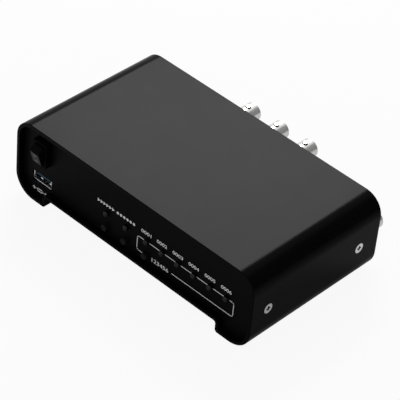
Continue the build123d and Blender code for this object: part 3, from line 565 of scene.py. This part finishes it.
def add_strip(maker, x, width, thickness, route):
    """A thin bent strip along (y, z) points, drawn out from a small face at the first."""
    stand = Matrix.Translation((x, *route[0])) @ Matrix.Rotation(math.pi / 2, 4, "X")
    size = Matrix.Diagonal((width, thickness, 1, 1))
    first = bmesh.ops.create_grid(maker, x_segments=1, y_segments=1, size=0.5, matrix=stand @ size)
    end = first["verts"][0].link_faces[0]
    for here, there in zip(route, route[1:]):
        drawn = bmesh.ops.extrude_face_region(maker, geom=[end])["geom"]
        corners = [item for item in drawn if isinstance(item, bmesh.types.BMVert)]
        bmesh.ops.translate(maker, verts=corners, vec=(0, there[0] - here[0], there[1] - here[1]))
        end = next(item for item in drawn if isinstance(item, bmesh.types.BMFace))


def close_up(maker):
    """Merges a fine piece's corners and turns its faces the right way out."""
    bmesh.ops.remove_doubles(maker, verts=maker.verts, dist=fine_merge)
    bmesh.ops.recalc_face_normals(maker, faces=maker.faces)


def settle_closed(maker, name, node, coat, turn):
    """Closes and smooths a fine piece, and fixes it to a node's body."""
    close_up(maker)
    round_off(maker, turn)
    settle(maker, name, body_of[node], coat)


class Ink:
    """Print on a panel that looks outward: -1 to the front, 1 to the back. Its places are x and z."""

    def __init__(self, face, outward, film):
        self.maker = bmesh.new()
        self.face = face
        self.outward = outward
        self.film = film

    def place(self, x, z):
        """A point in the middle of the ink's thickness."""
        return Vector((x, self.face + self.outward * self.film / 2, z))

    def bar(self, start, end, width):
        """A bar between two points, and half its width past each."""
        run = Vector((end[0] - start[0], 0, end[1] - start[1]))
        centre = (self.place(*start) + self.place(*end)) / 2
        size = Matrix.Diagonal((run.length + width, self.film, width, 1))
        turn = Matrix.Rotation(-math.atan2(run.z, run.x), 4, "Y")
        bmesh.ops.create_cube(self.maker, size=1.0, matrix=Matrix.Translation(centre) @ turn @ size)

    def disc(self, centre, radius, sides):
        """A disc, or a polygon of few sides, with a corner to the side."""
        stand = Matrix.Rotation(math.pi / 2, 4, "X") @ Matrix.Rotation(-math.pi / 2, 4, "Z")
        bmesh.ops.create_cone(
            self.maker,
            cap_ends=True,
            segments=sides,
            radius1=radius,
            radius2=radius,
            depth=self.film,
            matrix=Matrix.Translation(self.place(*centre)) @ stand,
        )

    def digits(self, text, centre, height, width=None):
        """Upright digits, read from outside, at their own width or a given one."""
        letters = bpy.data.curves.new("letters", "FONT")
        letters.body = text
        letters.resolution_u = 4
        letters.offset = 0.014
        letters.extrude = 0.5
        source = bpy.data.objects.new("letters", letters)
        bpy.context.scene.collection.objects.link(source)
        bpy.context.view_layer.update()
        mesh = bpy.data.meshes.new_from_object(source)
        bpy.data.objects.remove(source)
        points = [vertex.co for vertex in mesh.vertices]
        low = Vector([min(point[axis] for point in points) for axis in range(3)])
        high = Vector([max(point[axis] for point in points) for axis in range(3)])
        span = high - low
        tall = height / span.y
        wide = width / span.x if width else tall
        mesh.transform(Matrix.Translation(-(low + high) / 2))
        mesh.transform(Matrix.Diagonal((wide, tall, self.film / span.z, 1)))
        mesh.transform(Matrix.Rotation(math.pi / 2, 4, "X"))
        if self.outward > 0:
            mesh.transform(Matrix.Rotation(math.pi, 4, "Z"))
        mesh.transform(Matrix.Translation(self.place(*centre)))
        self.maker.from_mesh(mesh)
        bpy.data.meshes.remove(mesh)


# Fine metal of the sockets. Lengths in the lists are millimetres


def add_port_lips(turn):
    """Lips folded into the data port's mouth, under its tongue and at both ends."""
    port_axis = 12.75 * mm
    setback = 0.12 * mm
    depth = 0.3 * mm
    round_edge = 0.06 * mm
    lips = ((0, -2.5, 12.3, 0.7), (-6.2, 0.7, 0.7, 3.2), (6.2, 0.7, 0.7, 3.2))
    mouth = Vector((middle("port_shell").x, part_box("port_shell")[0].y + setback, port_axis))
    maker = bmesh.new()
    for x, z, width, height in lips:
        place = Matrix.Translation(mouth + Vector((x * mm, 0, z * mm)))
        size = Matrix.Diagonal((width * mm, depth, height * mm, 1))
        bmesh.ops.create_cube(maker, size=1.0, matrix=place @ size)
    bmesh.ops.bevel(
        maker,
        geom=maker.edges[:],
        offset=round_edge,
        offset_type="OFFSET",
        segments=2,
        profile=0.5,
        affect="EDGES",
        material=-1,
    )
    settle_closed(maker, "port_lips", "port_shell", "nickel_screw", turn)


def add_network_contacts(turn):
    """Eight spring wires that rise from the floor of the network socket's mouth to its back wall."""
    pitch = 1.02 * mm
    wire_width = 0.46 * mm
    wire_thickness = 0.3 * mm
    floor_drop = 11.0 * mm
    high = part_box("network_jack")[1]
    floor = high.z - floor_drop
    bends = ((1.5, 0), (2.6, 0.35), (9.5, 2.9), (13.1, 2.9))
    route = [(high.y - inward * mm, floor + rise * mm) for inward, rise in bends]
    maker = bmesh.new()
    for step in range(8):
        x = middle("network_jack").x + (step - 3.5) * pitch
        add_strip(maker, x, wire_width, wire_thickness, route)
    settle_closed(maker, "network_contacts", "network_jack", "gold_contact", turn)


def add_hd_contacts(turn):
    """Ten strips over the digital video socket's tongue and nine under it."""
    pitch = 1.0 * mm
    strip_width = 0.45 * mm
    strip_thickness = 0.06 * mm
    tongue_axis = 15.3 * mm
    from_axis = 0.56 * mm
    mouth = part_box("hd_tongue")[1].y
    maker = bmesh.new()
    for count, side in ((10, 1), (9, -1)):
        z = tongue_axis + side * from_axis
        route = [(mouth - 0.7 * mm, z), (mouth - 8.0 * mm, z)]
        for step in range(count):
            x = middle("hd_tongue").x + (step - (count - 1) / 2) * pitch
            add_strip(maker, x, strip_width, strip_thickness, route)
    settle_closed(maker, "hd_contacts", "hd_tongue", "gold_contact", turn)


def add_video_sleeves(turn):
    """A sleeve down each hole of the fifteen-way socket."""
    hole_pitch = 2.29 * mm
    row_pitch = 1.98 * mm
    row_axis = 18.65 * mm
    sleeve = ((0.27, -0.5), (0.53, -0.5), (0.53, -4.0), (0.27, -4.0))
    centre = middle("d_insert").x
    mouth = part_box("d_insert")[1].y
    maker = bmesh.new()
    for row in (-1, 0, 1):
        for step in range(5):
            x = centre + (step - 2 + row / 4) * hole_pitch
            add_profile(maker, Vector((x, mouth, row_axis + row * row_pitch)), sleeve, 12)
    settle_closed(maker, "video_sleeves", "d_insert", "gold_contact", turn)


def add_power_pin(turn):
    """A plated cap over the power socket's pin."""
    power_axis = 17.1 * mm
    cap = ((0, 0.05), (0.7, 0.05), (0.95, -0.05), (1.06, -0.35), (1.06, -9.4), (0, -9.4))
    mouth = Vector((middle("power_jack").x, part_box("power_jack")[1].y, power_axis))
    maker = bmesh.new()
    add_profile(maker, mouth, cap, 24)
    settle_closed(maker, "power_pin", "power_jack", "nickel_screw", turn)


def add_audio_ring(turn):
    """A plated ring in the mouth of the audio socket's ferrule."""
    audio_axis = 15.6 * mm
    ring = ((1.75, 0.08), (2.3, 0.08), (2.4, -0.02), (2.4, -0.3), (1.7, -0.3), (1.7, 0.03))
    mouth = Vector((middle("audio_jack").x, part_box("audio_jack")[1].y, audio_axis))
    maker = bmesh.new()
    add_profile(maker, mouth, ring, 40)
    settle_closed(maker, "audio_ring", "audio_jack", "nickel_screw", turn)


def facing(toward, distance):
    """The place of something that stands off from the middle of the object and faces it."""
    aim = Vector((0, 0, 20 * mm))
    toward = Vector(toward).normalized()
    turn = toward.to_track_quat("Z", "Y").to_matrix().to_4x4()
    return Matrix.Translation(aim + toward * distance) @ turn


def add_backdrop(name, size, place, material):
    """A flat square of the stage."""
    maker = bmesh.new()
    bmesh.ops.create_grid(maker, x_segments=1, y_segments=1, size=size, matrix=place)
    piece = new_piece(maker, name, material)
    return piece


class EncoderPrintSizes(bpy.types.PropertyGroup):
    """Sizes of the white print."""

    line: bpy.props.FloatProperty(
        name="Line",
        description="Width of the printed frame line",
        default=0.42 * mm,
        unit="LENGTH",
    )
    digit: bpy.props.FloatProperty(
        name="Digit",
        description="Height of the printed digits",
        default=2.0 * mm,
        unit="LENGTH",
    )
    film: bpy.props.FloatProperty(
        name="Film",
        description="Thickness of the ink",
        default=0.03 * mm,
        unit="LENGTH",
    )


class EncoderShape(bpy.types.PropertyGroup):
    """How the smoothed copies are shaded, and the coax jacks' thread."""

    turn: bpy.props.FloatProperty(
        name="Hard edge",
        description="Faces that turn by more than this meet in a hard edge",
        default=math.radians(28),
        subtype="ANGLE",
    )
    thread_pitch: bpy.props.FloatProperty(
        name="Thread pitch",
        description="Distance between the coax jacks' thread crests",
        default=0.6 * mm,
        unit="LENGTH",
    )


class EncoderStage(bpy.types.PropertyGroup):
    """Light, floor and camera."""

    floor_colour: bpy.props.FloatVectorProperty(
        name="Floor",
        description="Colour of the floor",
        default=(0.7, 0.7, 0.7),
        subtype="COLOR",
    )
    floor_white: bpy.props.FloatProperty(
        name="Floor white",
        description="Share of plain white that the camera sees in the floor",
        default=0.92,
        subtype="FACTOR",
    )
    floor_gloss: bpy.props.FloatProperty(
        name="Floor in gloss",
        description="Share of plain white that glossy and clear surfaces see in the floor",
        default=0.12,
        subtype="FACTOR",
    )
    room: bpy.props.FloatProperty(
        name="Room light",
        description="Strength of the even light from all round",
        default=0.5,
    )
    softbox: bpy.props.FloatProperty(
        name="Softbox",
        description="Power of the soft lamp behind",
        default=6.3,
        subtype="POWER",
    )
    focal: bpy.props.FloatProperty(
        name="Lens",
        description="Focal length in millimetres on a 36 mm sensor",
        default=185.01,
    )


class ENCODER_OT_finishes(bpy.types.Operator):
    """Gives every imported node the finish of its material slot"""

    bl_idname = "encoder.finishes"
    bl_label = "Finish the packed nodes"

    def execute(self, context):
        for node, part in frame["nodes"].items():
            part.data.materials.clear()
            part.data.materials.append(finish(slot_of[node]))
        return {"FINISHED"}


class ENCODER_OT_case(bpy.types.Operator):
    """Smooths the sleeve and the two panels"""

    bl_idname = "encoder.case"
    bl_label = "Case"

    def execute(self, context):
        smooth_copies("case", context.scene.encoder_shape.turn)
        return {"FINISHED"}


class ENCODER_OT_switch(bpy.types.Operator):
    """Smooths the switch's frame and rocker, and prints the off ring and the on bar"""

    bl_idname = "encoder.switch"
    bl_label = "Rocker switch"

    def execute(self, context):
        smooth_copies("switch", context.scene.encoder_shape.turn)
        film = context.scene.encoder_print.film
        face = rocker_pivot + rocker_out * rocker_face
        from_middle = rocker_up * 2.1 * mm
        ring_inside = 0.5 * mm
        ring_outside = 0.85 * mm
        bar_width = 2.3 * mm
        bar_height = 0.6 * mm
        maker = bmesh.new()
        ring = [(ring_inside, 0), (ring_outside, 0), (ring_outside, film), (ring_inside, film)]
        add_turned(maker, face + from_middle, rocker_out, ring, 24)
        place = Matrix((Vector((1, 0, 0)), rocker_up, -rocker_out)).transposed().to_4x4()
        place.translation = face - from_middle + rocker_out * film / 2
        size = Matrix.Diagonal((bar_width, bar_height, film, 1))
        bmesh.ops.create_cube(maker, size=1.0, matrix=place @ size)
        close_up(maker)
        settle(maker, "rocker_signs", body_of["rocker"], "sign_grey")
        return {"FINISHED"}


class ENCODER_OT_signals(bpy.types.Operator):
    """Smooths the indicators and the push buttons"""

    bl_idname = "encoder.signals"
    bl_label = "Indicators and buttons"

    def execute(self, context):
        smooth_copies("signals", context.scene.encoder_shape.turn)
        return {"FINISHED"}


class ENCODER_OT_ports(bpy.types.Operator):
    """Smooths the sockets and adds their fine metal"""

    bl_idname = "encoder.ports"
    bl_label = "Sockets"

    def execute(self, context):
        turn = context.scene.encoder_shape.turn
        smooth_copies("ports", turn)
        add_port_lips(turn)
        smooth_copy("network_jack", turn, "network_steel")
        add_network_contacts(turn)
        add_hd_contacts(turn)
        add_video_sleeves(turn)
        add_power_pin(turn)
        add_audio_ring(turn)
        return {"FINISHED"}


class ENCODER_OT_coax(bpy.types.Operator):
    """Smooths the coax jacks, and adds their threads and near-black rings round their lugs' bases, which
    are painted shadow
    """

    bl_idname = "encoder.coax"
    bl_label = "Coax jacks"

    def execute(self, context):
        turn = context.scene.encoder_shape.turn
        pitch = context.scene.encoder_shape.thread_pitch
        smooth_copies("coax", turn)
        outward = Vector((0, 1, 0))
        root = 5.93 * mm
        top = 6.14 * mm
        first_crest = rear_face + 2.25 * mm
        lug_setback = 5.0 * mm
        crest = [(root, 0), (top, 0.4 * pitch), (top, 0.55 * pitch), (root, 0.95 * pitch)]
        # Painted shadow: a near-black ring round the base of each lug
        shadow_ring = [(0.95 * mm, 4.4 * mm), (1.5 * mm, 4.4 * mm), (1.45 * mm, 4.92 * mm), (0.95 * mm, 4.92 * mm)]
        threads = bmesh.new()
        shadow_rings = bmesh.new()
        for jack in jacks:
            axis = Vector((middle(jack).x, 0, axis_height(jack)))
            lugs = axis + outward * (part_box(jack)[1].y - lug_setback)
            for step in range(2):
                add_turned(threads, axis + outward * (first_crest + step * pitch), outward, crest, 64)
            for side in (-1, 1):
                add_turned(shadow_rings, lugs, (0, 0, side), shadow_ring, 24)
        settle_closed(threads, "coax_threads", jacks[0], "coax_nickel", turn)
        settle_closed(shadow_rings, "coax_lug_painted_shadows", jacks[0], "lug_painted_shadow", turn)
        return {"FINISHED"}


class ENCODER_OT_fixings(bpy.types.Operator):
    """Smooths the screws that show"""

    bl_idname = "encoder.fixings"
    bl_label = "Screws"

    def execute(self, context):
        turn = context.scene.encoder_shape.turn
        smooth_copies("fixings", turn)
        smooth_copy("side_screws", turn, "side_screw_plate")
        return {"FINISHED"}


class ENCODER_OT_front_print(bpy.types.Operator):
    """Prints the frame line, digits and signs on the front panel"""

    bl_idname = "encoder.front_print"
    bl_label = "Front print"

    def execute(self, context):
        sizes = context.scene.encoder_print
        ink = Ink(panel_face, -1, sizes.film)

        def line(*points, width=sizes.line):
            places = [(x * mm, z * mm) for x, z in points]
            for start, end in zip(places, places[1:]):
                ink.bar(start, end, width)

        # Frame line, in millimetres: from the third button up, along the six indicators, down and back
        led_x = [middle(led).x / mm for led in leds]
        row = middle(leds[0]).z / mm - 0.2
        low = 12.2
        left = 2.6
        right = 66.0
        start = 13.2
        corner = 0.8
        start_corner = 0.9
        clear = 1.9
        gap_left = 6.3
        gap_right = 26.4
        line((left, start), (left, row - corner), (left + corner, row), (led_x[2] - clear, row))
        for here, there in zip(led_x[2:], led_x[3:]):
            line((here + clear, row), (there - clear, row))
        line((led_x[-1] + clear, row), (right - corner, row), (right, row - corner), (right, low + corner))
        line((right, low + corner), (right - corner, low), (gap_right, low))
        line((left, start), (left + start_corner, low), (gap_left, low))

        # Numbers: one over each of the six, and a row of digits in the gap of the low line
        high = 25.6
        aside = 0.8
        number_width = 6.8 * mm
        for number, x in enumerate(led_x[2:], 1):
            ink.digits(f"000{number}", ((x - aside) * mm, high * mm), sizes.digit, number_width)
        gap_middle = (18.4 * mm, 12.15 * mm)
        gap_height = 2.3 * mm
        gap_width = 11.2 * mm
        ink.digits("123456", gap_middle, gap_height, gap_width)

        # Signs over the pair: a row of six pointers, and a row of six dots
        pointers = (-24.6, -14.6, 3, 1.15)
        dots = (-11.3, -0.3, 20, 0.8)
        for first, last, sides, radius in (pointers, dots):
            for step in range(6):
                x = first + (last - first) * step / 5
                ink.disc((x * mm, high * mm), radius * mm, sides)

        # Sign under the data port: a plug's outline between two arrow heads
        x = -65.6
        z = 5.2
        half = 0.7
        width = 0.55 * mm
        outline = [(x - 2, z + half), (x + 2, z + half), (x + 2, z - half), (x - 2, z - half)]
        line(*outline, outline[0], width=width)
        for side in (-1, 1):
            tip = (x + side * 5.0, z)
            barb = x + side * 4.2
            line((x + side * 3.0, z), tip, width=width)
            line((barb, z + half), tip, (barb, z - half), width=width)
        settle(ink.maker, "front_print", "case", "print_white")
        return {"FINISHED"}


class ENCODER_OT_rear_print(bpy.types.Operator):
    """Prints a number beside each coax jack"""

    bl_idname = "encoder.rear_print"
    bl_label = "Rear print"

    def execute(self, context):
        ink = Ink(rear_face, 1, context.scene.encoder_print.film)
        beside = 9.0 * mm
        below = 3.5 * mm
        height = 2.2 * mm
        for number, jack in enumerate(jacks, 1):
            place = middle(jack)
            ink.digits(str(number), (place.x - beside, place.z - below), height)
        settle(ink.maker, "rear_print", "case", "print_white")
        return {"FINISHED"}


class ENCODER_OT_stage(bpy.types.Operator):
    """Sets the floor, the room, the lamp, the card and the camera"""

    bl_idname = "encoder.stage"
    bl_label = "Stage"

    def execute(self, context):
        stage = context.scene.encoder_stage

        # Floor: pale, mostly white to the camera, and with the object's shadow on it
        material, paint = new_material("pale_floor")
        paper = paint.node("ShaderNodeBsdfDiffuse", sockets={"Color": (*stage.floor_colour, 1)})
        white = paint.node("ShaderNodeEmission", sockets={"Color": (1, 1, 1, 1), "Strength": 1.0})
        in_gloss = (paint.ray("Glossy") + paint.ray("Transmission")) * stage.floor_gloss
        share = paint.ray("Camera") * stage.floor_white + in_gloss
        surface = paint.node("ShaderNodeMixShader", sockets={0: share, 1: paper, 2: white})
        paint.node("ShaderNodeOutputMaterial", sockets={"Surface": surface})
        just_under = Matrix.Translation((0, 0, -0.02 * mm))
        add_backdrop("floor", 4.0, just_under, material)

        # Room: white where it is seen, and a dimmer even light elsewhere
        world = bpy.data.worlds.new("room")
        world.use_nodes = True
        context.scene.world = world
        paint = Paint(world.node_tree)
        seen = paint.ray("Camera") + paint.ray("Glossy") + paint.ray("Transmission")
        strength = stage.room + seen * (1.0 - stage.room)
        walls = paint.node("ShaderNodeBackground", sockets={"Color": (1, 1, 1, 1), "Strength": strength})
        paint.node("ShaderNodeOutputWorld", sockets={"Surface": walls})

        # Softbox: high and behind to the left
        lamp = bpy.data.lights.new("softbox", "AREA")
        lamp.shape = "SQUARE"
        lamp.size = 0.4
        lamp.energy = stage.softbox
        box = bpy.data.objects.new("softbox", lamp)
        box.matrix_world = facing((-0.475, 0.553, 0.69), 0.95)
        context.scene.collection.objects.link(box)

        # Felt card: stands behind to the right, where only reflections see it
        material, paint = new_material("black_felt")
        felt = paint.node("ShaderNodeBsdfDiffuse", sockets={"Color": (0.4, 0.4, 0.4, 1)})
        paint.node("ShaderNodeOutputMaterial", sockets={"Surface": felt})
        card = add_backdrop("black_card", 0.42, facing((0.67, 0.62, 0.40), 0.8), material)
        card.visible_camera = False
        card.visible_diffuse = False
        card.visible_shadow = False

        # Camera: at the photograph's angle, from a solve of the case's edges
        turn = math.radians(40.66)
        rise = math.radians(39.615)
        roll = math.radians(5.628)
        distance = 1006.87 * mm
        aside = -0.926 * mm
        upward = -3.453 * mm
        back = Vector((math.sin(turn) * math.cos(rise), -math.cos(turn) * math.cos(rise), math.sin(rise)))
        level = Vector((0, 0, 1)).cross(back).normalized()
        plumb = back.cross(level)
        right = math.cos(roll) * level + math.sin(roll) * plumb
        above = math.cos(roll) * plumb - math.sin(roll) * level
        target = Vector((0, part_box("sleeve")[0].y + 50 * mm, 20 * mm))
        eye = target + right * aside + above * upward + back * distance
        lens = bpy.data.cameras.new("camera")
        lens.lens = stage.focal
        lens.sensor_width = 36.0
        lens.clip_start = 0.05
        lens.clip_end = 50.0
        camera = bpy.data.objects.new("camera", lens)
        camera.matrix_world = Matrix.Translation(eye) @ Matrix((right, above, back)).transposed().to_4x4()
        context.scene.collection.objects.link(camera)
        context.scene.camera = camera
        context.scene.view_settings.view_transform = "Standard"
        return {"FINISHED"}


operators = [
    ENCODER_OT_finishes,
    ENCODER_OT_case,
    ENCODER_OT_switch,
    ENCODER_OT_signals,
    ENCODER_OT_ports,
    ENCODER_OT_coax,
    ENCODER_OT_fixings,
    ENCODER_OT_front_print,
    ENCODER_OT_rear_print,
    ENCODER_OT_stage,
]
groups = {
    "encoder_print": EncoderPrintSizes,
    "encoder_shape": EncoderShape,
    "encoder_stage": EncoderStage,
}


class ENCODER_PT_panel(bpy.types.Panel):
    """Lists the encoder's operators and sizes."""

    bl_idname = "ENCODER_PT_panel"
    bl_label = "Video encoder"
    bl_space_type = "VIEW_3D"
    bl_region_type = "UI"
    bl_category = "Encoder"

    def draw(self, context):
        for group, kind in groups.items():
            box = self.layout.box()
            for name in kind.__annotations__:
                box.prop(getattr(context.scene, group), name)
        for operator in operators:
            self.layout.operator(operator.bl_idname)


def register():
    for group, kind in groups.items():
        bpy.utils.register_class(kind)
        setattr(bpy.types.Scene, group, bpy.props.PointerProperty(type=kind))
    for kind in [*operators, ENCODER_PT_panel]:
        bpy.utils.register_class(kind)


def unregister():
    for kind in [ENCODER_PT_panel, *reversed(operators)]:
        bpy.utils.unregister_class(kind)
    for group, kind in groups.items():
        delattr(bpy.types.Scene, group)
        bpy.utils.unregister_class(kind)


def main():
    register()
    bpy.ops.encoder.finishes()
    bpy.ops.encoder.case()
    bpy.ops.encoder.switch()
    bpy.ops.encoder.signals()
    bpy.ops.encoder.ports()
    bpy.ops.encoder.coax()
    bpy.ops.encoder.fixings()
    bpy.ops.encoder.front_print()
    bpy.ops.encoder.rear_print()
    bpy.ops.encoder.stage()


if __name__ == "__main__":
    main()
